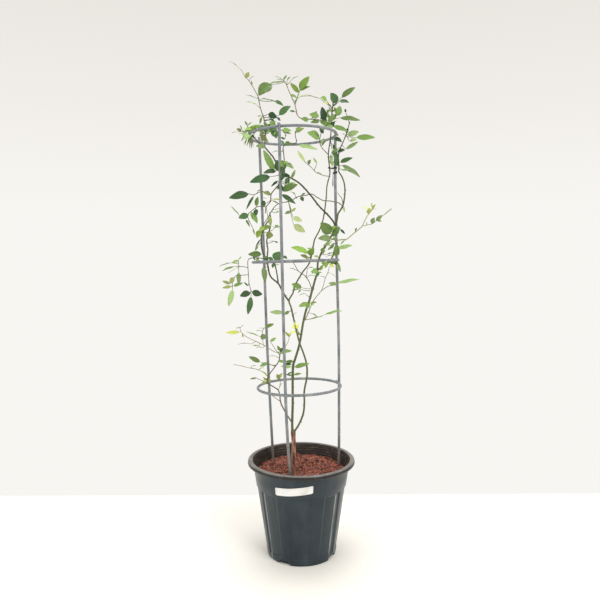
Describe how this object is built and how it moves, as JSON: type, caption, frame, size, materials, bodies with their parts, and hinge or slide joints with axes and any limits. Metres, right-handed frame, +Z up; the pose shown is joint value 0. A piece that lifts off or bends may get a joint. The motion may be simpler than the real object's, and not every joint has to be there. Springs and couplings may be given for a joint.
{
  "type": "potted climbing rose",
  "caption": "Young climbing rose with leafy canes trained up a round wire support, growing in soil in a fluted dark nursery pot with a blank label",
  "frame": {"origin": "on the pot's axis, at its underside", "axes": "+Z up along the pot's axis, -Y towards the side that the picture shows, +X to that viewer's right"},
  "size_m": [0.3173, 0.2, 0.9062],
  "materials": {
    "pot": "satin blue-black moulded plastic, a little dusty",
    "label": "matt white sticker, bare",
    "soil": "crumbly red-brown soil",
    "frame": "grey-blue coated wire, satin",
    "tie": "matt black plastic",
    "bark": "rough brown bark",
    "plant": "green canes and leaves, satin"
  },
  "bodies": {
    "root": {"cane_cross": "plant", "cane_diagonal": "plant", "cane_left": "plant", "cane_main": "plant", "cane_right": "plant", "hoop_lower": "frame", "hoop_middle": "frame", "hoop_upper": "frame", "label": "label", "pot": "pot", "rod_front": "frame", "rod_left": "frame", "rod_right": "frame", "shoot_low_left": "plant", "shoot_low_right": "plant", "shoot_right": "plant", "shoot_top_left": "plant", "shoot_top_middle": "plant", "soil": "soil", "tie_band": "tie", "tie_collar": "tie", "tie_end": "tie", "trunk": "bark", "twig_cross": "plant"}
  },
  "joints": []
}
